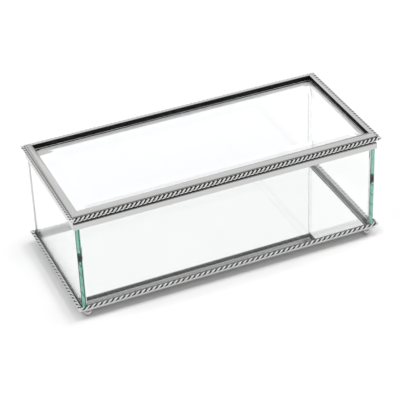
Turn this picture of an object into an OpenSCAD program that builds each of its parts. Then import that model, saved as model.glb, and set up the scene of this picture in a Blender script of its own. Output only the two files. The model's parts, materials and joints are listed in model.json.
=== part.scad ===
// Glass casket box: four glass walls in polished metal channels, a mirror floor on ball feet,
// and a hinged lid with a bevelled pane. The long side faces -Y, the box stands on z = 0.

/* [Glass walls] */
// Length over the two side walls
glass_l = 203; // [150:1:260]
// Depth over the front and rear faces of the walls
glass_w = 89; // [70:1:140]
// Height of the walls
glass_h = 64.9; // [40:0.1:110]
// Thickness of the walls
glass_t = 3; // [2.5:0.1:4]

/* [Channels] */
// Sheet thickness of the rim and base channels
sheet_t = 0.5; // [0.4:0.1:0.8]
// Gap between a wall and the side of its channel
glass_gap = 0.4; // [0.1:0.05:0.5]
// Outside height of the rim channel
rim_h = 4.9; // [4:0.1:7]
// Height of the rim channel's inner side
rim_inner_h = 3.7; // [2:0.1:6.5]
// Outside height of the base channel
base_h = 3; // [2.6:0.1:5]
// Height of the base channel's inner side
base_inner_h = 1.3; // [1.2:0.1:5]

/* [Floor] */
// Thickness of the base plate
plate_t = 0.4; // [0.3:0.1:1]
// Thickness of the felt pad under the mirror
pad_t = 0.2; // [0.2:0.1:0.6]
// Thickness of the mirror
mirror_t = 1; // [1:0.1:3]
// Gap between the mirror's edge and the base channels
mirror_gap = 0.3; // [0.2:0.1:0.6]

/* [Feet] */
// Diameter of a ball foot
foot_d = 5.6; // [4.6:0.1:8]
// Depth of the flat that a foot stands on
foot_flat = 0.1; // [0.05:0.05:0.2]
// Depth of the flat that is soldered to the base plate
foot_seat = 0.7; // [0.1:0.05:0.9]
// Distance of a foot's centre from the side walls' outer faces
foot_inset_l = 3.9; // [3:0.1:10]
// Distance of a foot's centre from the long walls' outer faces
foot_inset_w = 1.6; // [1:0.1:10]

/* [Lid] */
// Height of the lid rails
lid_rail_h = 5.1; // [5:0.1:7]
// Width of the lid rails
lid_rail_w = 4.2; // [3.8:0.1:6]
// Radius of the rails' outer top edge
lid_shoulder_r = 2.6; // [0.8:0.1:2.8]
// Radius of the rails' inner top edge
lid_edge_r = 0.4; // [0.2:0.1:0.6]
// Gap between the closed lid and the rim
lid_gap = 0.7; // [0.7:0.1:1]
// Depth of the groove that holds the pane
groove_d = 2.1; // [1.5:0.1:2.5]
// Depth of the groove's upper side below the top of the lid
groove_drop = 2.8; // [2.4:0.1:3.4]
// Height of the groove
groove_h = 1.7; // [1.5:0.1:1.9]

/* [Lid pane] */
// Width of the bevel
bevel_w = 12; // [6:0.5:20]
// Height that the bevel rises
bevel_rise = 1.3; // [0.6:0.1:2]
// Gap between the pane and the groove's end and lip
pane_gap = 0.1; // [0.05:0.05:0.3]

/* [Rope trim] */
// Diameter of the rope round the lid
lid_rope_d = 2.4; // [1.6:0.1:3]
// Height of the lid rope's centre above the lid's underside
lid_rope_up = 2.2; // [2:0.1:2.8]
// Diameter of the rope round the base
base_rope_d = 2.4; // [1.6:0.1:3.2]
// Height of the base rope's centre above the base channel's underside
base_rope_up = 3; // [1.6:0.1:3.1]
// Depth of the soldered flat along a rope's back
rope_flat = 0.1; // [0.05:0.05:0.2]

/* [Hinges] */
// Width of a hinge
hinge_w = 18; // [12:1:30]
// Distance of each hinge's middle from the outer end of the walls
hinge_inset = 41.5; // [20:0.5:58]
// Radius of the hinge barrel
barrel_r = 1.2; // [1.1:0.05:1.4]
// Radius of the hinge pin
pin_r = 0.6; // [0.5:0.05:0.7]
// Radial clearance round the pin
pin_clear = 0.05; // [0.02:0.01:0.08]
// Gap beside each knuckle and round the barrel
hinge_gap = 0.3; // [0.2:0.05:0.4]
// Thickness of a hinge leaf
leaf_t = 0.5; // [0.4:0.05:0.6]
// Height of the lower leaf
leaf_box_h = 2.8; // [1.5:0.1:3.2]
// Width of the upper leaf, under the rear lid rail
leaf_lid_w = 2.8; // [1.5:0.1:3.3]
// Thickness of a pin's head
pin_head_t = 0.4; // [0.3:0.1:0.8]

/* [Hidden] */
$fn = 64;
CHROME = [0.78, 0.79, 0.8];
GLASS = [0.75, 0.9, 0.86, 0.4];
SILVERED = [0.85, 0.87, 0.88];
FELT = [0.16, 0.16, 0.17];

// Heights, from the feet up
foot_h = foot_d - foot_flat - foot_seat;
rail_z = foot_h + plate_t;
wall_z = rail_z + sheet_t;
rim_top = wall_z + glass_h + sheet_t;
lid_z = rim_top + lid_gap;
lid_top = lid_z + lid_rail_h;
groove_top = lid_top - groove_drop;
mirror_z = rail_z + pad_t;

// Distances from the glass's outer face, outwards
face_out = glass_gap + sheet_t;
lid_rope_out = face_out + lid_rope_d / 2 - rope_flat;
base_rope_out = face_out + base_rope_d / 2 - rope_flat;
channel_w = glass_t + 2 * face_out;

// Hinge line, behind the rear wall
axis_out = face_out + hinge_gap + barrel_r;
axis_z = rim_top;
bore_r = pin_r + pin_clear;
head_r = (barrel_r + pin_r) / 2;
knuckle_w = (hinge_w - 2 * hinge_gap) / 3;
// Depth below the hinge line at which the lower leaf clears the upper leaf's knuckle
leaf_off = sqrt(pow(barrel_r + hinge_gap, 2) - pow(axis_out - face_out - leaf_t, 2));

// Sides of the box: the turn that brings the front side there
FRONT = 0;
RIGHT = 90;
REAR = 180;
LEFT = 270;
mitre_room = 6;
cut = 1;

// A bar along one side, mitred at both ends. Its section has x from the glass's outer face
// inwards and y as the height.
module side_bar(side) {
    along = side % 180 == 0 ? glass_l : glass_w;
    across = side % 180 == 0 ? glass_w : glass_l;
    rotate(side)
        translate([0, -across / 2, 0])
            intersection() {
                translate([-along / 2 - mitre_room, 0, 0])
                    rotate([90, 0, 90])
                        linear_extrude(along + 2 * mitre_room)
                            children();
                mitre_wedge(along);
            }
}

// Plan of a bar between its two 45 degree mitres
module mitre_wedge(along) {
    half = along / 2;
    linear_extrude(lid_top + cut)
        polygon([
            [-half - mitre_room, -mitre_room], [half + mitre_room, -mitre_room],
            [half - mitre_room, mitre_room], [-half + mitre_room, mitre_room]
        ]);
}

// Sections -------------------------------------------------------------

// Grooved lid rail, its outer top edge rounded to a wide shoulder
module lid_rail_section() {
    difference() {
        intersection() {
            translate([-face_out, lid_z]) square([lid_rail_w, lid_rail_h]);
            union() {
                translate([-face_out, lid_z]) square([lid_rail_w, lid_rail_h - lid_shoulder_r]);
                translate([-face_out + lid_shoulder_r, lid_z])
                    square([lid_rail_w - lid_shoulder_r, lid_rail_h - lid_edge_r]);
                translate([-face_out + lid_shoulder_r, lid_z])
                    square([lid_rail_w - lid_shoulder_r - lid_edge_r, lid_rail_h]);
                translate([-face_out + lid_shoulder_r, lid_top - lid_shoulder_r])
                    circle(lid_shoulder_r);
                translate([-face_out + lid_rail_w - lid_edge_r, lid_top - lid_edge_r])
                    circle(lid_edge_r);
            }
        }
        translate([-face_out + lid_rail_w - groove_d, groove_top - groove_h])
            square([groove_d + cut, groove_h]);
    }
}

// Inverted channel that caps a wall
module rim_section() {
    translate([-face_out, rim_top - rim_h]) square([sheet_t, rim_h]);
    translate([-face_out, rim_top - sheet_t]) square([channel_w, sheet_t]);
    translate([glass_t + glass_gap, rim_top - rim_inner_h]) square([sheet_t, rim_inner_h]);
}

// Channel that a wall stands in
module base_section() {
    translate([-face_out, rail_z]) square([sheet_t, base_h]);
    translate([-face_out, rail_z]) square([channel_w, sheet_t]);
    translate([glass_t + glass_gap, rail_z]) square([sheet_t, base_inner_h]);
}

// Round rope, flat where it is soldered to the rail
module rope_section(out, up, d) {
    difference() {
        translate([-out, up]) circle(d = d);
        translate([-face_out, up - d]) square([d, 2 * d]);
    }
}

// Lid ------------------------------------------------------------------

module lid_rail(side) {
    color(CHROME) side_bar(side) lid_rail_section();
}

module lid_rope(side) {
    color(CHROME) side_bar(side) rope_section(lid_rope_out, lid_z + lid_rope_up, lid_rope_d);
}

// Bevelled pane: the crossing of two bevelled bars
module lid_pane() {
    inset = lid_rail_w - face_out - groove_d + pane_gap;
    color(GLASS)
        intersection() {
            pane_bar(glass_l - 2 * inset, glass_w);
            rotate(90) pane_bar(glass_w - 2 * inset, glass_l);
        }
}

// Bar of the pane's bevelled section, across x, whose bevel passes just under the groove's lip
module pane_bar(across, along) {
    half = across / 2;
    low = groove_top - groove_h;
    edge = groove_top - pane_gap - bevel_rise * (groove_d - pane_gap) / bevel_w;
    translate([0, along / 2, 0])
        rotate([90, 0, 0])
            linear_extrude(along)
                polygon([
                    [-half, low], [half, low], [half, edge],
                    [half - bevel_w, edge + bevel_rise], [-half + bevel_w, edge + bevel_rise],
                    [-half, edge]
                ]);
}

// Walls and channels ---------------------------------------------------

module rim_rail(side) {
    color(CHROME) side_bar(side) rim_section();
}

module base_rail(side) {
    color(CHROME) side_bar(side) base_section();
}

module base_rope(side) {
    color(CHROME) side_bar(side) rope_section(base_rope_out, rail_z + base_rope_up, base_rope_d);
}

// Front and rear walls stand between the side walls
module long_wall(way) {
    color(GLASS)
        translate([-glass_l / 2 + glass_t, way * (glass_w - glass_t) / 2 - glass_t / 2, wall_z])
            cube([glass_l - 2 * glass_t, glass_t, glass_h]);
}

module side_wall(way) {
    color(GLASS)
        translate([way * (glass_l - glass_t) / 2 - glass_t / 2, -glass_w / 2, wall_z])
            cube([glass_t, glass_w, glass_h]);
}

// Floor ----------------------------------------------------------------

// Flat sheet centred on the box, set in from the glass's outer faces
module sheet(inset, z, t) {
    size = [glass_l - 2 * inset, glass_w - 2 * inset];
    translate([-size.x / 2, -size.y / 2, z]) cube([size.x, size.y, t]);
}

module mirror_sheet() {
    color(SILVERED) sheet(glass_t + face_out + mirror_gap, mirror_z, mirror_t);
}

module mirror_pad() {
    color(FELT) sheet(glass_t + face_out + mirror_gap, rail_z, pad_t);
}

module base_plate() {
    color(CHROME) sheet(-face_out, foot_h, plate_t);
}

// Ball foot with a flat to stand on and a flat soldered to the plate
module foot(x_way, y_way) {
    color(CHROME)
        translate([
            x_way * (glass_l / 2 - foot_inset_l), y_way * (glass_w / 2 - foot_inset_w), 0
        ])
            intersection() {
                translate([0, 0, foot_d / 2 - foot_flat]) sphere(d = foot_d);
                translate([-foot_d, -foot_d, 0]) cube([2 * foot_d, 2 * foot_d, foot_h]);
            }
}

// Hinges ---------------------------------------------------------------

// Moves to the middle of a hinge, on its pin's axis
module at_hinge(x_way) {
    translate([x_way * (glass_l / 2 - hinge_inset), glass_w / 2 + axis_out, axis_z]) children();
}

// Bar along the hinge line, centred on x
module round_bar(r, length) {
    rotate([0, 90, 0]) cylinder(r = r, h = length, center = true);
}

// Knuckle at x with the strap, low to low + height, that joins it to its leaf
module knuckle(x, low, height) {
    translate([x, 0, 0]) {
        round_bar(barrel_r, knuckle_w);
        translate([-knuckle_w / 2, face_out - axis_out, low])
            cube([knuckle_w, axis_out - face_out, height]);
    }
}

// Lower leaf on the rim channel's rear face, with the two outer knuckles
module hinge_leaf_box(x_way) {
    strap_low = leaf_off + leaf_t;
    color(CHROME)
        at_hinge(x_way)
            difference() {
                union() {
                    translate([-hinge_w / 2, face_out - axis_out, -leaf_off - leaf_box_h])
                        cube([hinge_w, leaf_t, leaf_box_h]);
                    for (x = [-1, 1])
                        knuckle(x * (knuckle_w + hinge_gap), -strap_low, strap_low - hinge_gap);
                }
                round_bar(bore_r, hinge_w + cut);
            }
}

// Upper leaf under the rear lid rail, with the middle knuckle
module hinge_leaf_lid(x_way) {
    color(CHROME)
        at_hinge(x_way)
            difference() {
                union() {
                    translate([-hinge_w / 2, face_out - axis_out - leaf_lid_w, lid_gap - leaf_t])
                        cube([hinge_w, leaf_lid_w, leaf_t]);
                    knuckle(0, lid_gap - leaf_t, leaf_t);
                }
                round_bar(bore_r, hinge_w + cut);
            }
}

module hinge_pin(x_way) {
    color(CHROME)
        at_hinge(x_way) {
            round_bar(pin_r, hinge_w + 2 * pin_head_t);
            for (x = [-1, 1])
                translate([x * (hinge_w + pin_head_t) / 2, 0, 0]) round_bar(head_r, pin_head_t);
        }
}

lid_pane();
lid_rail(FRONT);  // lid_rail_front
lid_rail(REAR);  // lid_rail_rear
lid_rail(LEFT);  // lid_rail_left
lid_rail(RIGHT);  // lid_rail_right
lid_rope(FRONT);  // lid_rope_front
lid_rope(REAR);  // lid_rope_rear
lid_rope(LEFT);  // lid_rope_left
lid_rope(RIGHT);  // lid_rope_right
hinge_leaf_lid(-1);  // hinge_leaf_lid_left
hinge_leaf_lid(1);  // hinge_leaf_lid_right
rim_rail(FRONT);  // rim_rail_front
rim_rail(REAR);  // rim_rail_rear
rim_rail(LEFT);  // rim_rail_left
rim_rail(RIGHT);  // rim_rail_right
long_wall(-1);  // glass_front
long_wall(1);  // glass_rear
side_wall(-1);  // glass_left
side_wall(1);  // glass_right
base_rail(FRONT);  // base_rail_front
base_rail(REAR);  // base_rail_rear
base_rail(LEFT);  // base_rail_left
base_rail(RIGHT);  // base_rail_right
base_rope(FRONT);  // base_rope_front
base_rope(REAR);  // base_rope_rear
base_rope(LEFT);  // base_rope_left
base_rope(RIGHT);  // base_rope_right
mirror_sheet();  // mirror
mirror_pad();
base_plate();
foot(-1, -1);  // foot_front_left
foot(1, -1);  // foot_front_right
foot(-1, 1);  // foot_rear_left
foot(1, 1);  // foot_rear_right
hinge_leaf_box(-1);  // hinge_leaf_box_left
hinge_leaf_box(1);  // hinge_leaf_box_right
hinge_pin(-1);  // hinge_pin_left
hinge_pin(1);  // hinge_pin_right
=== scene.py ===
"""Looks of a glass casket box with a rope-trimmed metal frame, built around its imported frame.

Every piece takes its place and size from the frame, in metres, with +Z up and the front on -Y.
"""

import json
import math

import bmesh
import bpy
from bpy.props import FloatProperty, FloatVectorProperty, IntProperty, PointerProperty
from mathutils import Matrix, Vector

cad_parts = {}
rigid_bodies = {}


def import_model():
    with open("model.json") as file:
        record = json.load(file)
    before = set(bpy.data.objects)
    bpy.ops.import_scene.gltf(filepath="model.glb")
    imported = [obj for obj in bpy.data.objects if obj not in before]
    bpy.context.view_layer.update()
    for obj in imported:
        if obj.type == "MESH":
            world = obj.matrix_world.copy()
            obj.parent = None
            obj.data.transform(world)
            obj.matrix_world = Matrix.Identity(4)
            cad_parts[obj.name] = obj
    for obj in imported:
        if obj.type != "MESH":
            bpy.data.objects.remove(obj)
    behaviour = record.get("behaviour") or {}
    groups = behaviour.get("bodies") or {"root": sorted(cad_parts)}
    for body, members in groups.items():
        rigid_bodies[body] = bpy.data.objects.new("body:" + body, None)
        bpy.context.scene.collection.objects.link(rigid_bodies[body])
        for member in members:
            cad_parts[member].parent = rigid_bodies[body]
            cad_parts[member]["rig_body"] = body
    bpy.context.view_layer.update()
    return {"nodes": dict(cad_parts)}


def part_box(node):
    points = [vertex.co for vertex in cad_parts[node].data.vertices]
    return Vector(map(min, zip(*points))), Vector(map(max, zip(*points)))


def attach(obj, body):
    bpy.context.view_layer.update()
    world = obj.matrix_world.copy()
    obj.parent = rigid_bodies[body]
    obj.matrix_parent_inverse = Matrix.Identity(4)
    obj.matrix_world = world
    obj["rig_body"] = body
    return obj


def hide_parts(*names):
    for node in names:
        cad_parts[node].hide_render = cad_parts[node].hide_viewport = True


bl_info = {
    "name": "Glass Casket Box",
    "version": (1, 0, 0),
    "blender": (4, 5, 0),
    "location": "View3D > Sidebar > Casket",
    "description": "Finishes of a glass casket box with rope trim and a bevelled lid",
    "category": "Object",
}

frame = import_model()
NODES = frame["nodes"]

MM = 0.001
SIDES = ("front", "rear", "left", "right")


def box_centre(node):
    """Middle of a CAD node's box."""
    low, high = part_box(node)
    return (low + high) / 2


# Settings -------------------------------------------------------------


class CASKET_PG_sizes(bpy.types.PropertyGroup):
    """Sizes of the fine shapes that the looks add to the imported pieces."""

    lid_rope_lay: FloatProperty(
        name="Lid Rope Lay",
        description="Length of rope in which a strand of the lid's trim turns once",
        default=5.92 * MM,
        min=3.0 * MM,
        unit="LENGTH",
    )
    base_rope_lay: FloatProperty(
        name="Base Rope Lay",
        description="Length of rope in which a strand of the base's trim turns once",
        default=7.35 * MM,
        min=3.0 * MM,
        unit="LENGTH",
    )
    lay_steps: IntProperty(
        name="Steps per Lay",
        description="Rings along one turn of a strand",
        default=24,
        min=12,
    )
    strand_steps: IntProperty(
        name="Strand Sides",
        description="Points round one strand",
        default=14,
        min=8,
    )
    rail_round: FloatProperty(
        name="Rail Edge Round",
        description="Width of the polished round on the solid rails' edges",
        default=0.16 * MM,
        min=0.0,
        unit="LENGTH",
    )
    sheet_round: FloatProperty(
        name="Sheet Edge Round",
        description="Width of the polished round on the channels' edges",
        default=0.1 * MM,
        min=0.0,
        unit="LENGTH",
    )
    rim_round: FloatProperty(
        name="Rim Edge Round",
        description="Width of the round along the rim's upper outer edge",
        default=1.6 * MM,
        min=0.0,
        unit="LENGTH",
    )
    glass_arris: FloatProperty(
        name="Glass Arris",
        description="Width of the ground arris along the glass walls' edges",
        default=0.25 * MM,
        min=0.0,
        unit="LENGTH",
    )
    pane_arris: FloatProperty(
        name="Pane Arris",
        description="Width of the arris along the edges of the pane and the mirror",
        default=0.15 * MM,
        min=0.0,
        unit="LENGTH",
    )
    glue_line: FloatProperty(
        name="Glue Line",
        description="Gap left where glass, mirror, pad and plate lie on their neighbours",
        default=0.03 * MM,
        min=0.0,
        unit="LENGTH",
    )
    foot_segments: IntProperty(
        name="Foot Segments",
        description="Points round a ball foot",
        default=48,
        min=12,
    )


class CASKET_PG_finishes(bpy.types.PropertyGroup):
    """Colours and polish of the materials."""

    chrome: FloatVectorProperty(
        name="Chrome",
        description="Colour of the polished plating",
        subtype="COLOR",
        size=3,
        min=0.0,
        max=1.0,
        default=(0.56, 0.56, 0.556),
    )
    chrome_roughness: FloatProperty(
        name="Chrome Roughness",
        description="Roughness of the polished plating",
        default=0.09,
        min=0.0,
        max=1.0,
    )
    # Painted shade: near-black deep between the strands, where shade falls.
    groove_shade: FloatVectorProperty(
        name="Groove",
        description="Colour of the darkened plating deep between the strands",
        subtype="COLOR",
        size=3,
        min=0.0,
        max=1.0,
        default=(0.02, 0.02, 0.019),
    )
    # Painted highlight: the strands' plating is lighter than the rest of the plating.
    strand: FloatVectorProperty(
        name="Strand",
        description="Colour of the plating on the rope's strands",
        subtype="COLOR",
        size=3,
        min=0.0,
        max=1.0,
        default=(0.78, 0.78, 0.775),
    )
    # Painted light: a metal colour lighter than the plating, standing in for brighter reflections on the
    # inner faces; their roughness is real brushing.
    satin: FloatVectorProperty(
        name="Satin",
        description="Colour of the brushed inner faces of the rails",
        subtype="COLOR",
        size=3,
        min=0.0,
        max=1.0,
        default=(0.8, 0.8, 0.79),
    )
    # Near-black for the walls round the pane, and painted shade in the channel beds and on the walls behind
    # the rope.
    recess_shade: FloatVectorProperty(
        name="Recess",
        description="Colour of the blackened walls round the pane, in the channels and behind the rope",
        subtype="COLOR",
        size=3,
        min=0.0,
        max=1.0,
        default=(0.014, 0.014, 0.013),
    )
    glass: FloatVectorProperty(
        name="Glass",
        description="Tint of the clear glass through its faces",
        subtype="COLOR",
        size=3,
        min=0.0,
        max=1.0,
        default=(0.985, 0.992, 0.99),
    )
    cut_edge: FloatVectorProperty(
        name="Cut Edge",
        description="Tint of the glass seen through a cut edge",
        subtype="COLOR",
        size=3,
        min=0.0,
        max=1.0,
        default=(0.19, 0.46, 0.36),
    )
    arris: FloatVectorProperty(
        name="Arris",
        description="Colour of the ground arrises of the glass walls",
        subtype="COLOR",
        size=3,
        min=0.0,
        max=1.0,
        default=(0.045, 0.065, 0.058),
    )
    pane: FloatVectorProperty(
        name="Pane",
        description="Tint of the lid's pane through its faces",
        subtype="COLOR",
        size=3,
        min=0.0,
        max=1.0,
        default=(0.955, 0.955, 0.965),
    )
    silvering: FloatVectorProperty(
        name="Silvering",
        description="Colour of the mirror floor",
        subtype="COLOR",
        size=3,
        min=0.0,
        max=1.0,
        default=(0.97, 0.97, 0.97),
    )
    felt: FloatVectorProperty(
        name="Felt",
        description="Colour of the felt pad under the mirror",
        subtype="COLOR",
        size=3,
        min=0.0,
        max=1.0,
        default=(0.02, 0.02, 0.022),
    )
    plate: FloatVectorProperty(
        name="Base Plate",
        description="Colour of the satin plate under the box",
        subtype="COLOR",
        size=3,
        min=0.0,
        max=1.0,
        default=(0.62, 0.62, 0.61),
    )


class CASKET_PG_studio(bpy.types.PropertyGroup):
    """Floor, light and camera."""

    floor: FloatVectorProperty(
        name="Floor",
        description="Colour of the floor",
        subtype="COLOR",
        size=3,
        min=0.0,
        max=1.0,
        default=(0.95, 0.95, 0.95),
    )
    azimuth: FloatProperty(
        name="Camera Azimuth",
        description="Turn of the camera round the box, from straight in front",
        default=math.radians(-22.34),
        subtype="ANGLE",
    )
    elevation: FloatProperty(
        name="Camera Elevation",
        description="Angle of the camera above the floor",
        default=math.radians(33.92),
        subtype="ANGLE",
    )
    roll: FloatProperty(
        name="Camera Roll",
        description="Turn of the camera about its line of sight",
        default=math.radians(-2.38),
        subtype="ANGLE",
    )
    distance: FloatProperty(
        name="Camera Distance",
        description="Distance of the camera from the middle of the box's footprint",
        default=1.03285,
        min=0.3,
        unit="LENGTH",
    )
    pan: FloatVectorProperty(
        name="Camera Pan",
        description="Shift of the camera to its right and up",
        size=2,
        default=(-2.84 * MM, 25.04 * MM),
        unit="LENGTH",
    )
    lens: FloatProperty(
        name="Lens",
        description="Focal length on a 36 mm wide sensor, in millimetres",
        default=140.76,
        min=20.0,
    )


SETTINGS = {
    "casket_sizes": CASKET_PG_sizes,
    "casket_finishes": CASKET_PG_finishes,
    "casket_studio": CASKET_PG_studio,
}


# Shader groups --------------------------------------------------------


def new_group(name, inputs, outputs):
    """Shader group with float or vector inputs, each (name, default), and float outputs."""
    group = bpy.data.node_groups.new(name, "ShaderNodeTree")
    for label, default in inputs:
        kind = "NodeSocketFloat" if isinstance(default, (int, float)) else "NodeSocketVector"
        socket = group.interface.new_socket(label, in_out="INPUT", socket_type=kind)
        socket.default_value = default
    for label in outputs:
        group.interface.new_socket(label, in_out="OUTPUT", socket_type="NodeSocketFloat")
    return group, group.nodes.new("NodeGroupInput"), group.nodes.new("NodeGroupOutput")


def plug(tree, socket, value):
    """Links a socket into an input, or sets the input to a constant."""
    if isinstance(value, bpy.types.NodeSocket):
        tree.links.new(value, socket)
    else:
        socket.default_value = value


def math_node(tree, operation, *values, clamp=False):
    """Output of a Math node fed with sockets or constants."""
    node = tree.nodes.new("ShaderNodeMath")
    node.operation = operation
    node.use_clamp = clamp
    for socket, value in zip(node.inputs, values):
        plug(tree, socket, value)
    return node.outputs[0]


def length_of(tree, x, y):
    """Length of the vector (x, y)."""
    squares = [math_node(tree, "MULTIPLY", value, value) for value in (x, y)]
    return math_node(tree, "SQRT", math_node(tree, "ADD", *squares))


def ramp_between(tree, value, low, high):
    """Mask that rises smoothly from 0 at low to 1 at high."""
    node = tree.nodes.new("ShaderNodeMapRange")
    node.interpolation_type = "SMOOTHSTEP"
    plug(tree, node.inputs["Value"], value)
    plug(tree, node.inputs["From Min"], low)
    plug(tree, node.inputs["From Max"], high)
    return node.outputs[0]


def mix_colour(tree, factor, a, b):
    """Colour between a and b."""
    node = tree.nodes.new("ShaderNodeMix")
    node.data_type = "RGBA"
    plug(tree, node.inputs[0], factor)
    plug(tree, node.inputs[6], a)
    plug(tree, node.inputs[7], b)
    return node.outputs[2]


def object_place(tree):
    """Object coordinates."""
    return tree.nodes.new("ShaderNodeTexCoord").outputs["Object"]


def noise(tree, vector, scale, detail=3.0):
    """Height of a noise texture."""
    node = tree.nodes.new("ShaderNodeTexNoise")
    plug(tree, node.inputs["Vector"], vector)
    plug(tree, node.inputs["Scale"], scale)
    node.inputs["Detail"].default_value = detail
    return node.outputs["Fac"]


def polish_group():
    """Buffed metal: long faint polishing lines, soft cloudiness and a slow ripple."""
    group, inputs, outputs = new_group(
        "Casket Polish",
        [("Vector", (0.0, 0.0, 0.0)), ("Stretch", (1.0, 1.0, 1.0)), ("Roughness", 0.1), ("Spread", 0.06)],
        ["Roughness", "Height"],
    )
    stretched = group.nodes.new("ShaderNodeVectorMath")
    stretched.operation = "MULTIPLY"
    group.links.new(inputs.outputs["Vector"], stretched.inputs[0])
    group.links.new(inputs.outputs["Stretch"], stretched.inputs[1])
    lines = noise(group, stretched.outputs[0], 2600.0, 4.0)
    ripple = noise(group, stretched.outputs[0], 500.0, 1.0)
    cloud = noise(group, inputs.outputs["Vector"], 90.0, 3.0)
    halves = [math_node(group, "MULTIPLY", height, 0.5) for height in (lines, cloud)]
    worn = math_node(group, "ADD", *halves)
    spread = math_node(
        group, "MULTIPLY", math_node(group, "SUBTRACT", worn, 0.5), inputs.outputs["Spread"]
    )
    rough = math_node(group, "ADD", inputs.outputs["Roughness"], spread, clamp=True)
    group.links.new(rough, outputs.inputs["Roughness"])
    height = math_node(group, "ADD", math_node(group, "MULTIPLY", lines, 0.15), ripple)
    group.links.new(height, outputs.inputs["Height"])
    return group


def rope_crease_shade_group():
    """Mask for painted shade in a rope's grooves: how near a point lies to the middle of a rope that runs
    round a rectangle, 1 between its strands.
    """
    group, inputs, outputs = new_group(
        "Casket Rope Groove",
        [("Vector", (0.0, 0.0, 0.0)), ("Half Size", (0.1, 0.05, 0.0)), ("Height", 0.0), ("Radius", 0.001),
         ("Deep", 0.55), ("Shallow", 0.85)],
        ["Groove"],
    )
    split = group.nodes.new("ShaderNodeSeparateXYZ")
    group.links.new(inputs.outputs["Vector"], split.inputs[0])
    half = group.nodes.new("ShaderNodeSeparateXYZ")
    group.links.new(inputs.outputs["Half Size"], half.inputs[0])
    over = [
        math_node(group, "SUBTRACT", math_node(group, "ABSOLUTE", split.outputs[i]), half.outputs[i])
        for i in (0, 1)
    ]
    outside = [math_node(group, "MAXIMUM", value, 0.0) for value in over]
    corner = length_of(group, *outside)
    inside = math_node(group, "MINIMUM", math_node(group, "MAXIMUM", *over), 0.0)
    across = math_node(group, "ADD", corner, inside)
    up = math_node(group, "SUBTRACT", split.outputs[2], inputs.outputs["Height"])
    away = length_of(group, across, up)
    share = math_node(group, "DIVIDE", away, inputs.outputs["Radius"])
    raised = ramp_between(group, share, inputs.outputs["Deep"], inputs.outputs["Shallow"])
    group.links.new(math_node(group, "SUBTRACT", 1.0, raised), outputs.inputs["Groove"])
    return group


SHADER_GROUPS = {}


def shader_group(maker):
    """The group that maker builds, built once."""
    if maker not in SHADER_GROUPS:
        SHADER_GROUPS[maker] = maker()
    return SHADER_GROUPS[maker]


def place_group(tree, maker, **values):
    """Places a shader group and sets or links its inputs, named with underscores for spaces."""
    node = tree.nodes.new("ShaderNodeGroup")
    node.node_tree = shader_group(maker)
    for label, value in values.items():
        plug(tree, node.inputs[label.replace("_", " ")], value)
    return node.outputs


# Materials ------------------------------------------------------------


def new_material(name):
    """Material with a Principled BSDF, and its tree and shader."""
    material = bpy.data.materials.new(name)
    material.use_nodes = True
    tree = material.node_tree
    return material, tree, tree.nodes["Principled BSDF"]


def opaque(colour):
    """Colour property with alpha."""
    return (*colour, 1.0)


def grey(value):
    """Neutral colour with alpha."""
    return (value, value, value, 1.0)


def bump(tree, height, distance, shader):
    """Feeds the shader's normal from a height."""
    node = tree.nodes.new("ShaderNodeBump")
    node.inputs["Distance"].default_value = distance
    plug(tree, node.inputs["Height"], height)
    tree.links.new(node.outputs[0], shader.inputs["Normal"])


def chrome_material(name, stretch, distance=0.004 * MM):
    """Polished plating with buffing lines; stretch is below 1 along the lines."""
    finish = bpy.context.scene.casket_finishes
    material, tree, shader = new_material(name)
    place = object_place(tree)
    polish = place_group(
        tree, polish_group, Vector=place, Stretch=stretch, Roughness=finish.chrome_roughness, Spread=0.08
    )
    shader.inputs["Base Color"].default_value = opaque(finish.chrome)
    shader.inputs["Metallic"].default_value = 1.0
    tree.links.new(polish["Roughness"], shader.inputs["Roughness"])
    bump(tree, polish["Height"], distance, shader)
    return material, tree, shader


LINE_STRETCH = 0.03


def rail_material(side):
    """Plating with its buffing lines along one side of the box."""
    sideways = side in ("left", "right")
    name = "polished_rail_across" if sideways else "polished_rail_along"
    if name in bpy.data.materials:
        return bpy.data.materials[name]
    stretch = (1.0, LINE_STRETCH, 1.0) if sideways else (LINE_STRETCH, 1.0, 1.0)
    return chrome_material(name, stretch)[0]


def satin_lightened_material():
    """Brushed inner faces of the rails, in a metal colour lighter than the plating as painted light."""
    if "satin_rail" in bpy.data.materials:
        return bpy.data.materials["satin_rail"]
    finish = bpy.context.scene.casket_finishes
    material, tree, shader = new_material("satin_rail")
    place = object_place(tree)
    polish = place_group(tree, polish_group, Vector=place, Roughness=0.4, Spread=0.1)
    shader.inputs["Base Color"].default_value = opaque(finish.satin)
    shader.inputs["Metallic"].default_value = 1.0
    tree.links.new(polish["Roughness"], shader.inputs["Roughness"])
    return material


def painted_shade_material():
    """Matt near-black of the walls round the pane, and painted shade in the channels and behind the rope.
    """
    if "blackened_recess" in bpy.data.materials:
        return bpy.data.materials["blackened_recess"]
    material, tree, shader = new_material("blackened_recess")
    place = object_place(tree)
    grain = noise(tree, place, 1500.0)
    dark = bpy.context.scene.casket_finishes.recess_shade
    tree.links.new(
        mix_colour(tree, grain, opaque(dark), opaque([v * 1.5 for v in dark])), shader.inputs["Base Color"]
    )
    shader.inputs["Specular IOR Level"].default_value = 0.1
    tree.links.new(ramp_between(tree, grain, -0.6, 1.4), shader.inputs["Roughness"])
    return material


def rope_material(name, half, height, radius):
    """Plated twist: near-black painted shade in the grooves between its strands, and strands painted
    lighter than the plating as painted highlight.
    """
    finish = bpy.context.scene.casket_finishes
    material, tree, shader = chrome_material(name, (1.0, 1.0, 1.0))
    place = object_place(tree)
    groove_shade = place_group(
        tree, rope_crease_shade_group, Vector=place, Half_Size=(*half, 0.0), Height=height, Radius=radius
    )["Groove"]
    # Painted shade in the grooves, painted highlight on the lighter strands.
    tree.links.new(
        mix_colour(tree, groove_shade, opaque(finish.strand), opaque(finish.groove_shade)), shader.inputs["Base Color"]
    )
    return material


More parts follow.
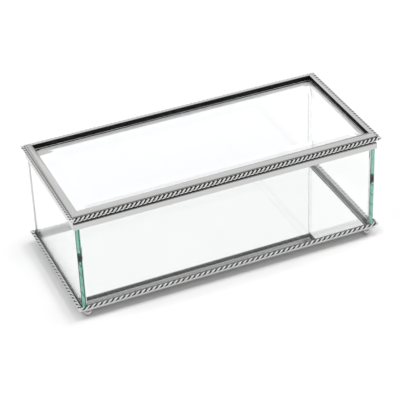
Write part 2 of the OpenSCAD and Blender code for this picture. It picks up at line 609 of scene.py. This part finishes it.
def glass_material(name, colour):
    """Clear glass that lets lamps through to what it holds."""
    material, tree, shader = new_material(name)
    shader.inputs["Base Color"].default_value = opaque(colour)
    shader.inputs["Metallic"].default_value = 0.0
    shader.inputs["Transmission Weight"].default_value = 1.0
    shader.inputs["IOR"].default_value = 1.5
    shader.inputs["Roughness"].default_value = 0.0
    output = tree.nodes["Material Output"]
    clear = tree.nodes.new("ShaderNodeBsdfTransparent")
    clear.inputs["Color"].default_value = opaque([v**0.25 for v in colour])
    rays = tree.nodes.new("ShaderNodeLightPath")
    surface = shader.outputs[0]
    for ray in ("Is Diffuse Ray", "Is Shadow Ray"):
        mix = tree.nodes.new("ShaderNodeMixShader")
        tree.links.new(rays.outputs[ray], mix.inputs[0])
        tree.links.new(surface, mix.inputs[1])
        tree.links.new(clear.outputs[0], mix.inputs[2])
        surface = mix.outputs[0]
    tree.links.new(surface, output.inputs["Surface"])
    return material


def clear_glass():
    """Glass seen through its faces."""
    name = "clear_glass"
    return bpy.data.materials.get(name) or glass_material(name, bpy.context.scene.casket_finishes.glass)


def cut_glass():
    """Glass seen through its cut edges."""
    name = "glass_cut_edge"
    return bpy.data.materials.get(name) or glass_material(
        name, bpy.context.scene.casket_finishes.cut_edge
    )


def pane_glass():
    """Glass of the lid's pane."""
    return glass_material("pane_glass", bpy.context.scene.casket_finishes.pane)


def arris_material():
    """Ground arris of a glass edge: dark, with a soft sheen."""
    name = "ground_arris"
    if name in bpy.data.materials:
        return bpy.data.materials[name]
    material, tree, shader = new_material(name)
    place = object_place(tree)
    grain = noise(tree, place, 900.0)
    dark = bpy.context.scene.casket_finishes.arris
    tree.links.new(
        mix_colour(tree, grain, opaque([v * 0.5 for v in dark]), opaque([v * 1.5 for v in dark])),
        shader.inputs["Base Color"],
    )
    shader.inputs["Roughness"].default_value = 0.22
    return material


def silvering_material():
    """Silvered underside of the mirror, with the faintest clouding."""
    finish = bpy.context.scene.casket_finishes
    material, tree, shader = new_material("silvering")
    place = object_place(tree)
    cloud = noise(tree, place, 40.0)
    colour = mix_colour(tree, cloud, opaque(finish.silvering), opaque([v * 0.98 for v in finish.silvering]))
    tree.links.new(colour, shader.inputs["Base Color"])
    shader.inputs["Metallic"].default_value = 1.0
    shader.inputs["Roughness"].default_value = 0.0
    return material


def felt_material():
    """Pressed felt: short tangled fibres with a soft sheen."""
    finish = bpy.context.scene.casket_finishes
    material, tree, shader = new_material("felt_pad")
    place = object_place(tree)
    fibre = noise(tree, place, 3500.0, 6.0)
    colour = mix_colour(tree, fibre, opaque(finish.felt), opaque([v * 2.2 for v in finish.felt]))
    tree.links.new(colour, shader.inputs["Base Color"])
    shader.inputs["Roughness"].default_value = 0.95
    shader.inputs["Sheen Weight"].default_value = 0.4
    bump(tree, fibre, 0.05 * MM, shader)
    return material


def plate_material():
    """Satin plate, brushed along its length."""
    finish = bpy.context.scene.casket_finishes
    material, tree, shader = new_material("satin_plate")
    place = object_place(tree)
    polish = place_group(
        tree, polish_group, Vector=place, Stretch=(0.02, 1.0, 1.0), Roughness=0.34, Spread=0.2
    )
    shader.inputs["Base Color"].default_value = opaque(finish.plate)
    shader.inputs["Metallic"].default_value = 1.0
    tree.links.new(polish["Roughness"], shader.inputs["Roughness"])
    bump(tree, polish["Height"], 0.01 * MM, shader)
    return material


# Meshes ---------------------------------------------------------------


def new_piece(name, bm, materials):
    """Object of a finished bmesh, at the origin."""
    mesh = bpy.data.meshes.new(name)
    bm.to_mesh(mesh)
    bm.free()
    piece = bpy.data.objects.new(name, mesh)
    for material in materials:
        mesh.materials.append(material)
    bpy.context.scene.collection.objects.link(piece)
    return piece


def smooth_by_angle(piece, angle=math.radians(32)):
    """Smooth shading that keeps edges sharper than the angle."""
    piece.data.shade_smooth()
    piece.data.set_sharp_from_angle(angle=angle)


def cad_copy(node, flat_within=math.radians(0.5)):
    """A CAD node's mesh, joined up and with its flat faces whole."""
    bm = bmesh.new()
    bm.from_mesh(NODES[node].data)
    bmesh.ops.remove_doubles(bm, verts=bm.verts, dist=1e-7)
    bmesh.ops.dissolve_limit(bm, angle_limit=flat_within, verts=bm.verts, edges=bm.edges)
    return bm


def round_edges(bm, width, segments, least_turn=math.radians(40)):
    """Bevels every edge where the faces turn by more than least_turn."""
    sharp = [e for e in bm.edges if len(e.link_faces) == 2 and e.calc_face_angle() > least_turn]
    bmesh.ops.bevel(
        bm, geom=sharp, offset=width, segments=segments, profile=0.5, affect="EDGES", clamp_overlap=True
    )


def round_brow(bm, width):
    """Rounds the long upper outer edge of a rail."""
    top = max(v.co.z for v in bm.verts)
    along = max(bm.edges, key=lambda e: (min(v.co.z for v in e.verts) > top - 1e-6) * e.calc_length())
    bmesh.ops.bevel(bm, geom=[along], offset=width, segments=5, profile=0.5, affect="EDGES")


def plate_mesh(low, high, arris):
    """Flat sheet between two corners, with an arris ground along its edges."""
    size = high - low
    bm = bmesh.new()
    place = Matrix.Translation((low + high) / 2) @ Matrix.Diagonal((*size, 1.0))
    bmesh.ops.create_cube(bm, size=1.0, matrix=place)
    round_edges(bm, arris, 1)
    return bm


def inward_way(node):
    """Level direction from a rail to the middle of the box."""
    inwards = -box_centre(node)
    inwards.z = 0.0
    return inwards.normalized()


def stand_for(piece, node):
    """The piece rides where the node does and replaces it."""
    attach(piece, NODES[node]["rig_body"])
    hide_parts(node)


# Rails ----------------------------------------------------------------

# Rail slots: polished plating, near-black painted shade, and brushed plating lightened as painted light.
POLISHED, SHADE_PAINTED, BRUSHED_LIGHTENED = range(3)


def rail_finishes(side):
    """Materials of one rail, in the order of their names above."""
    return [rail_material(side), painted_shade_material(), satin_lightened_material()]


class CASKET_OT_rails(bpy.types.Operator):
    """Polished rails of the lid, the rim and the base"""

    bl_idname = "casket.rails"
    bl_label = "Rails"

    def execute(self, context):
        sizes = context.scene.casket_sizes
        for side in SIDES:
            self.lid_rail(side, sizes)
            for part in ("rim", "base"):
                node = f"{part}_rail_{side}"
                bm = cad_copy(node)
                if part == "rim":
                    round_brow(bm, sizes.rim_round)
                round_edges(bm, sizes.sheet_round, 2)
                piece = new_piece(f"{node}_polished", bm, rail_finishes(side))
                smooth_by_angle(piece)
                self.paint_bed_shade(piece, f"glass_{side}")
                self.finish_flanges(piece, node, part)
                stand_for(piece, node)
        return {"FINISHED"}

    def paint_bed_shade(self, piece, wall):
        """Paints shade, in near-black, on the faces of a channel that hold a glass wall."""
        reach = Vector((0.5, 0.5, 0.05)) * MM
        low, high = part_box(wall)
        low, high = low - reach, high + reach
        for face in piece.data.polygons:
            if all(low[i] < face.center[i] < high[i] for i in (0, 1, 2)):
                face.material_index = SHADE_PAINTED

    def finish_flanges(self, piece, node, part):
        """Gives the rim's inner faces brushed metal lightened as painted light, and paints shade on the
        base's upper outer edge, behind the rope.
        """
        inwards = inward_way(node)
        half = abs(inwards.dot(box_centre(node)))
        near_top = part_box(node)[1].z - 1.0 * MM
        for face in piece.data.polygons:
            turn = face.normal.dot(inwards)
            within = abs(face.center.dot(inwards)) < half
            if part == "rim" and turn > 0.7 and within and face.material_index == POLISHED:
                face.material_index = BRUSHED_LIGHTENED
            if part == "base" and -0.95 < turn < -0.3 and not within and face.center.z > near_top:
                face.material_index = SHADE_PAINTED

    def lid_rail(self, side, sizes):
        """One lid rail: near-black on the inner wall above the pane, painted shade on the outer wall behind
        the rope, and brushed metal lightened as painted light on the inner wall below the pane.
        """
        node = f"lid_rail_{side}"
        bm = cad_copy(node)
        round_edges(bm, sizes.rail_round, 2)
        piece = new_piece(f"{node}_polished", bm, rail_finishes(side))
        smooth_by_angle(piece)
        inwards = inward_way(node)
        pane_low, pane_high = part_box("lid_pane")
        half = abs(inwards.dot(box_centre(node)))
        for face in piece.data.polygons:
            inner = face.normal.dot(inwards) > 0.7
            above = face.center.z > pane_high.z - 1.5 * MM
            facing_in = abs(face.center.dot(inwards)) < half - 1.0 * MM
            if inner and above and facing_in:
                face.material_index = SHADE_PAINTED
            elif inner and face.center.z < pane_low.z:
                face.material_index = BRUSHED_LIGHTENED
            # Outer wall behind the rope: painted shade.
            elif face.normal.dot(inwards) < -0.995:
                face.material_index = SHADE_PAINTED
        stand_for(piece, node)


# Rope trim ------------------------------------------------------------

STRAND_FULLNESS = 1.06


def rope_tree():
    """Geometry nodes that twist two strands along a path and solder its ends."""
    tree = bpy.data.node_groups.new("Casket Rope Twist", "GeometryNodeTree")
    add = tree.interface.new_socket
    add("Path", in_out="INPUT", socket_type="NodeSocketGeometry")
    for label, default in (("Rope Diameter", 2.4 * MM), ("Strand Lay", 5.92 * MM), ("Solder Radius", 0.0)):
        socket = add(label, in_out="INPUT", socket_type="NodeSocketFloat")
        socket.default_value = default
        socket.subtype = "DISTANCE"
    for label, default in (("Steps per Lay", 24), ("Strand Sides", 14)):
        add(label, in_out="INPUT", socket_type="NodeSocketInt").default_value = default
    add("Material", in_out="INPUT", socket_type="NodeSocketMaterial")
    add("Rope", in_out="OUTPUT", socket_type="NodeSocketGeometry")

    new, link = tree.nodes.new, tree.links.new
    given = new("NodeGroupInput").outputs
    curve = new("GeometryNodeMeshToCurve")
    link(given["Path"], curve.inputs["Mesh"])

    step = math_node(tree, "DIVIDE", given["Strand Lay"], given["Steps per Lay"])
    rings = new("GeometryNodeResampleCurve")
    rings.mode = "LENGTH"
    link(curve.outputs[0], rings.inputs["Curve"])
    link(step, rings.inputs["Length"])

    along = new("GeometryNodeSplineParameter").outputs["Length"]
    turns = math_node(tree, "DIVIDE", along, given["Strand Lay"])
    tilt = new("GeometryNodeSetCurveTilt")
    link(rings.outputs[0], tilt.inputs["Curve"])
    link(math_node(tree, "MULTIPLY", turns, -math.tau), tilt.inputs["Tilt"])

    strand = math_node(tree, "MULTIPLY", given["Rope Diameter"], 0.25 * STRAND_FULLNESS)
    circle = new("GeometryNodeCurvePrimitiveCircle")
    link(given["Strand Sides"], circle.inputs["Resolution"])
    link(strand, circle.inputs["Radius"])
    offset = math_node(tree, "SUBTRACT", math_node(tree, "MULTIPLY", given["Rope Diameter"], 0.5), strand)
    pair = new("GeometryNodeJoinGeometry")
    for way in (1.0, -1.0):
        shift = new("ShaderNodeCombineXYZ")
        link(math_node(tree, "MULTIPLY", offset, way), shift.inputs["X"])
        moved = new("GeometryNodeTransform")
        link(circle.outputs["Curve"], moved.inputs["Geometry"])
        link(shift.outputs[0], moved.inputs["Translation"])
        link(moved.outputs[0], pair.inputs[0])
    sweep = new("GeometryNodeCurveToMesh")
    link(tilt.outputs[0], sweep.inputs["Curve"])
    link(pair.outputs[0], sweep.inputs["Profile Curve"])
    sweep.inputs["Fill Caps"].default_value = True

    ends = new("GeometryNodeCurveEndpointSelection")
    ball = new("GeometryNodeMeshUVSphere")
    ball.inputs["Segments"].default_value = 32
    ball.inputs["Rings"].default_value = 16
    link(given["Solder Radius"], ball.inputs["Radius"])
    solder = new("GeometryNodeInstanceOnPoints")
    link(rings.outputs[0], solder.inputs["Points"])
    link(ends.outputs[0], solder.inputs["Selection"])
    link(ball.outputs["Mesh"], solder.inputs["Instance"])
    both = new("GeometryNodeJoinGeometry")
    link(sweep.outputs[0], both.inputs[0])
    link(solder.outputs[0], both.inputs[0])

    real = new("GeometryNodeRealizeInstances")
    link(both.outputs[0], real.inputs[0])
    shade = new("GeometryNodeSetShadeSmooth")
    link(real.outputs[0], shade.inputs[0])
    finish = new("GeometryNodeSetMaterial")
    link(shade.outputs[0], finish.inputs["Geometry"])
    link(given["Material"], finish.inputs["Material"])
    link(finish.outputs[0], new("NodeGroupOutput").inputs[0])
    return tree


def nodes_to_mesh(piece, tree, values):
    """Runs a geometry tree on the piece with the named values and keeps its mesh."""
    modifier = piece.modifiers.new("Shape", "NODES")
    modifier.node_group = tree
    for item in tree.interface.items_tree:
        if item.item_type == "SOCKET" and item.in_out == "INPUT" and item.name in values:
            modifier[item.identifier] = values[item.name]
    graph = bpy.context.evaluated_depsgraph_get()
    mesh = bpy.data.meshes.new_from_object(piece.evaluated_get(graph))
    piece.modifiers.remove(modifier)
    path = piece.data
    piece.data = mesh
    mesh.name = piece.name
    bpy.data.meshes.remove(path)


class CASKET_OT_ropes(bpy.types.Operator):
    """Twisted rope trim round the lid and the base"""

    bl_idname = "casket.ropes"
    bl_label = "Rope Trim"

    def execute(self, context):
        sizes = context.scene.casket_sizes
        tree = rope_tree()
        for part, lay in (("lid", sizes.lid_rope_lay), ("base", sizes.base_rope_lay)):
            low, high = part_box(f"{part}_rope_front")
            diameter = high.z - low.z
            half = Vector((high.x - diameter / 2, -low.y - diameter / 2))
            height = (low.z + high.z) / 2
            material = rope_material(f"{part}_rope_plating", half, height, diameter / 2)
            for side in SIDES:
                values = {
                    "Rope Diameter": diameter,
                    "Strand Lay": lay,
                    "Steps per Lay": sizes.lay_steps,
                    "Strand Sides": sizes.strand_steps,
                    "Solder Radius": diameter * (0.5 if side in ("front", "rear") else 0.0),
                    "Material": material,
                }
                self.rope(f"{part}_rope_{side}", side, half, height, tree, values)
        return {"FINISHED"}

    def rope(self, node, side, half, height, tree, values):
        """One length of rope between two corners, with its strands leaning the same way on every side."""
        turn = {"front": 0.0, "right": 90.0, "rear": 180.0, "left": 270.0}[side]
        along, across = (half.x, half.y) if side in ("front", "rear") else (half.y, half.x)
        turned = Matrix.Rotation(math.radians(turn), 3, "Z")
        bm = bmesh.new()
        ends = [bm.verts.new(turned @ Vector((way * along, -across, height))) for way in (-1, 1)]
        bm.edges.new(ends)
        piece = new_piece(f"{node}_twisted", bm, [])
        nodes_to_mesh(piece, tree, values)
        stand_for(piece, node)


# Glass ----------------------------------------------------------------


class CASKET_OT_walls(bpy.types.Operator):
    """Four glass walls with ground arrises and green cut edges"""

    bl_idname = "casket.walls"
    bl_label = "Glass Walls"

    def execute(self, context):
        sizes = context.scene.casket_sizes
        gap = Vector((sizes.glue_line,) * 3)
        for side in SIDES:
            node = f"glass_{side}"
            low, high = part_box(node)
            bm = plate_mesh(low + gap, high - gap, sizes.glass_arris)
            piece = new_piece(f"{node}_wall", bm, [clear_glass(), cut_glass(), arris_material()])
            if side in ("left", "right"):
                outwards = math.copysign(1.0, low.x)
                for face in piece.data.polygons:
                    edge_on = max(abs(face.normal.y), abs(face.normal.z))
                    ground = 0.5 < edge_on < 0.9 and face.normal.x * outwards > 0.5
                    face.material_index = 2 if ground else 1 if edge_on > 0.5 else 0
            stand_for(piece, node)
        return {"FINISHED"}


class CASKET_OT_lid_pane(bpy.types.Operator):
    """Clear lid pane with its wide bevel"""

    bl_idname = "casket.lid_pane"
    bl_label = "Lid Pane"

    def execute(self, context):
        bm = cad_copy("lid_pane")
        round_edges(bm, context.scene.casket_sizes.pane_arris, 1)
        piece = new_piece("lid_pane_bevelled", bm, [pane_glass()])
        stand_for(piece, "lid_pane")
        return {"FINISHED"}


# Floor of the box -----------------------------------------------------


class CASKET_OT_mirror_floor(bpy.types.Operator):
    """Mirror, felt pad and base plate"""

    bl_idname = "casket.mirror_floor"
    bl_label = "Mirror Floor"

    def execute(self, context):
        sizes = context.scene.casket_sizes
        layers = (
            ("mirror", "mirror_silvered", [clear_glass(), silvering_material()], "mirror"),
            ("mirror_pad", "mirror_pad_felt", [felt_material()], "felt"),
            ("base_plate", "base_plate_satin", [plate_material()], "plate_metal"),
        )
        for node, name, materials, slot in layers:
            low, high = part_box(node)
            low.z += sizes.glue_line
            piece = new_piece(name, plate_mesh(low, high, sizes.pane_arris), materials)
            for face in piece.data.polygons:
                if face.normal.z < -0.9:
                    face.material_index = len(materials) - 1
            stand_for(piece, node)
        return {"FINISHED"}


# Feet and hinges ------------------------------------------------------


class CASKET_OT_feet(bpy.types.Operator):
    """Ball feet soldered under the base plate's corners"""

    bl_idname = "casket.feet"
    bl_label = "Feet"

    def execute(self, context):
        sizes = context.scene.casket_sizes
        material = chrome_material("polished_foot", (1.0, 1.0, 1.0))[0]
        for node in [n for n in NODES if n.startswith("foot_")]:
            bm = self.ball(node, sizes.foot_segments)
            piece = new_piece(f"{node}_ball", bm, [material])
            smooth_by_angle(piece)
            stand_for(piece, node)
        return {"FINISHED"}

    def ball(self, node, segments):
        """Ball between its two flats, turned on a lathe."""
        low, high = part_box(node)
        radius = (high.x - low.x) / 2
        height = high.z - low.z
        middle = box_centre(node)
        flat = foot_flat(node)
        centre = radius - flat
        start = -math.acos(centre / radius)
        stop = math.acos((height - centre) / radius)
        steps = segments // 2
        angles = [-math.pi / 2 - start + (math.pi - stop + start) * i / steps for i in range(steps + 1)]
        bm = bmesh.new()
        outline = [Vector((0.0, 0.0, 0.0))]
        outline += [Vector((radius * math.cos(a), 0.0, centre + radius * math.sin(a))) for a in angles]
        outline.append(Vector((0.0, 0.0, height)))
        verts = [bm.verts.new(p) for p in outline]
        edges = [bm.edges.new(pair) for pair in zip(verts, verts[1:])]
        bmesh.ops.spin(
            bm, geom=verts + edges, cent=(0, 0, 0), axis=(0, 0, 1), angle=math.tau, steps=segments
        )
        bmesh.ops.remove_doubles(bm, verts=bm.verts, dist=1e-7)
        bmesh.ops.recalc_face_normals(bm, faces=bm.faces)
        bmesh.ops.translate(bm, verts=bm.verts, vec=(middle.x, middle.y, low.z))
        return bm


def foot_flat(node):
    """Depth of the flat that a foot stands on, from how wide its mesh is at the floor."""
    low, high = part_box(node)
    radius = (high.x - low.x) / 2
    middle = box_centre(node)
    reach = max(
        math.hypot(v.co.x - middle.x, v.co.y - middle.y)
        for v in NODES[node].data.vertices
        if v.co.z < low.z + 1e-6
    )
    return radius - math.sqrt(radius**2 - reach**2)


class CASKET_OT_hinges(bpy.types.Operator):
    """Hinge leaves and their pins behind the rear rails"""

    bl_idname = "casket.hinges"
    bl_label = "Hinges"

    def execute(self, context):
        sizes = context.scene.casket_sizes
        material = chrome_material("polished_hinge", (0.1, 1.0, 1.0))[0]
        for node in [n for n in NODES if n.startswith("hinge_")]:
            bm = cad_copy(node)
            round_edges(bm, sizes.sheet_round * 0.6, 2, math.radians(50))
            piece = new_piece(f"{node}_polished", bm, [material])
            smooth_by_angle(piece)
            stand_for(piece, node)
        return {"FINISHED"}


# Stage ----------------------------------------------------------------


class CASKET_OT_stage(bpy.types.Operator):
    """Pale floor, studio light and camera"""

    bl_idname = "casket.stage"
    bl_label = "Stage"

    def execute(self, context):
        scene = context.scene
        studio = scene.casket_studio
        scene.view_settings.view_transform = "Standard"
        scene.cycles.max_bounces = 24
        scene.cycles.glossy_bounces = 16
        scene.cycles.transmission_bounces = 24
        scene.cycles.transparent_max_bounces = 32
        self.floor(studio)
        self.sky(scene)
        self.lamps()
        self.camera(scene, studio)
        return {"FINISHED"}

    def floor(self, studio):
        """Wide floor at the feet."""
        bm = bmesh.new()
        bmesh.ops.create_circle(bm, cap_ends=True, radius=8.0, segments=64)
        material, tree, shader = new_material("studio_floor")
        shader.inputs["Base Color"].default_value = opaque(studio.floor)
        shader.inputs["Roughness"].default_value = 1.0
        shader.inputs["Specular IOR Level"].default_value = 0.0
        new_piece("studio_floor", bm, [material])

    def sky(self, scene):
        """White surroundings and a window in front, with a dark room that only reflections show."""
        world = bpy.data.worlds.new("Studio")
        scene.world = world
        world.use_nodes = True
        tree = world.node_tree
        lamp = tree.nodes["Background"]
        way = tree.nodes.new("ShaderNodeTexCoord").outputs["Generated"]
        split = tree.nodes.new("ShaderNodeSeparateXYZ")
        tree.links.new(way, split.inputs[0])
        facing = tree.nodes.new("ShaderNodeVectorMath")
        facing.operation = "DOT_PRODUCT"
        tree.links.new(way, facing.inputs[0])
        facing.inputs[1].default_value = (-0.36, -0.93, 0.0)
        front = ramp_between(tree, facing.outputs["Value"], 0.1, 0.6)
        below = ramp_between(tree, split.outputs[2], 0.92, 0.62)
        low = ramp_between(tree, split.outputs[2], 0.5, 0.1)
        overhead = ramp_between(tree, split.outputs[2], 0.505, 0.545)
        backdrop = mix_colour(tree, overhead, grey(1.12), grey(1.03))
        horizon = ramp_between(tree, split.outputs[2], 0.45, 0.1)
        backdrop = mix_colour(tree, horizon, backdrop, grey(0.5))
        room = mix_colour(tree, low, grey(0.6), grey(0.03))
        dark = math_node(tree, "MULTIPLY", front, below)
        shown = mix_colour(tree, dark, backdrop, room)
        rays = tree.nodes.new("ShaderNodeLightPath").outputs
        mirrored = math_node(tree, "GREATER_THAN", rays["Glossy Depth"], 0.5)
        seen = mix_colour(tree, mirrored, grey(0.97), shown)
        lit = math_node(tree, "MAXIMUM", rays["Is Camera Ray"], rays["Is Glossy Ray"])
        lit = math_node(tree, "MAXIMUM", lit, rays["Is Transmission Ray"])
        window = ramp_between(tree, facing.outputs["Value"], -0.5, 0.5)
        shade = mix_colour(tree, window, grey(0.22), grey(0.7))
        colour = mix_colour(tree, lit, shade, seen)
        tree.links.new(colour, lamp.inputs["Color"])
        lamp.inputs["Strength"].default_value = 1.0

    def lamps(self):
        """A long strip of light overhead, along the box."""
        for name, azimuth, elevation, strength, spread in (
            ("strip_lamp_left", -90.0, 65.0, 0.84, 24.0),
            ("strip_lamp_middle", 90.0, 80.0, 0.84, 24.0),
            ("strip_lamp_right", 90.0, 50.0, 0.84, 24.0),
        ):
            data = bpy.data.lights.new(name, "SUN")
            data.energy = strength
            data.angle = math.radians(spread)
            lamp = bpy.data.objects.new(name, data)
            a, e = math.radians(azimuth), math.radians(elevation)
            way = Vector((math.sin(a) * math.cos(e), -math.cos(a) * math.cos(e), math.sin(e)))
            lamp.rotation_mode = "QUATERNION"
            lamp.rotation_quaternion = way.to_track_quat("Z", "Y")
            lamp.visible_glossy = False
            lamp.visible_transmission = False
            bpy.context.scene.collection.objects.link(lamp)

    def camera(self, scene, studio):
        """Camera at the photograph's viewing angle."""
        data = bpy.data.cameras.new("camera")
        data.sensor_width = 36.0
        data.lens = studio.lens
        data.clip_start, data.clip_end = 0.05, 30.0
        camera = bpy.data.objects.new("camera", data)
        a, e = studio.azimuth, studio.elevation
        back = Vector((math.sin(a) * math.cos(e), -math.cos(a) * math.cos(e), math.sin(e)))
        level = Vector((math.cos(a), math.sin(a), 0.0))
        upright = back.cross(level)
        c, s = math.cos(studio.roll), math.sin(studio.roll)
        right, up = c * level + s * upright, c * upright - s * level
        place = studio.distance * back + studio.pan[0] * right + studio.pan[1] * up
        camera.matrix_world = Matrix((right, up, back)).transposed().to_4x4()
        camera.location = place
        scene.collection.objects.link(camera)
        scene.camera = camera


# Panel and registration -----------------------------------------------

OPERATORS = (
    CASKET_OT_stage,
    CASKET_OT_rails,
    CASKET_OT_ropes,
    CASKET_OT_walls,
    CASKET_OT_lid_pane,
    CASKET_OT_mirror_floor,
    CASKET_OT_feet,
    CASKET_OT_hinges,
)


class CASKET_PT_panel(bpy.types.Panel):
    """Lists the settings and the pieces"""

    bl_idname = "CASKET_PT_panel"
    bl_label = "Glass Casket Box"
    bl_space_type = "VIEW_3D"
    bl_region_type = "UI"
    bl_category = "Casket"

    def draw(self, context):
        for name in SETTINGS:
            settings = getattr(context.scene, name)
            column = self.layout.column(align=True)
            for prop in type(settings).__annotations__:
                column.prop(settings, prop)
        for operator in OPERATORS:
            self.layout.operator(operator.bl_idname)


def register():
    for group in SETTINGS.values():
        bpy.utils.register_class(group)
    for name, group in SETTINGS.items():
        setattr(bpy.types.Scene, name, PointerProperty(type=group))
    for cls in (*OPERATORS, CASKET_PT_panel):
        bpy.utils.register_class(cls)


def unregister():
    for cls in (CASKET_PT_panel, *reversed(OPERATORS)):
        bpy.utils.unregister_class(cls)
    for name in SETTINGS:
        delattr(bpy.types.Scene, name)
    for group in reversed(SETTINGS.values()):
        bpy.utils.unregister_class(group)


def main():
    """Builds the stage and every piece."""
    register()
    for operator in OPERATORS:
        category, name = operator.bl_idname.split(".")
        getattr(getattr(bpy.ops, category), name)()


if __name__ == "__main__":
    main()
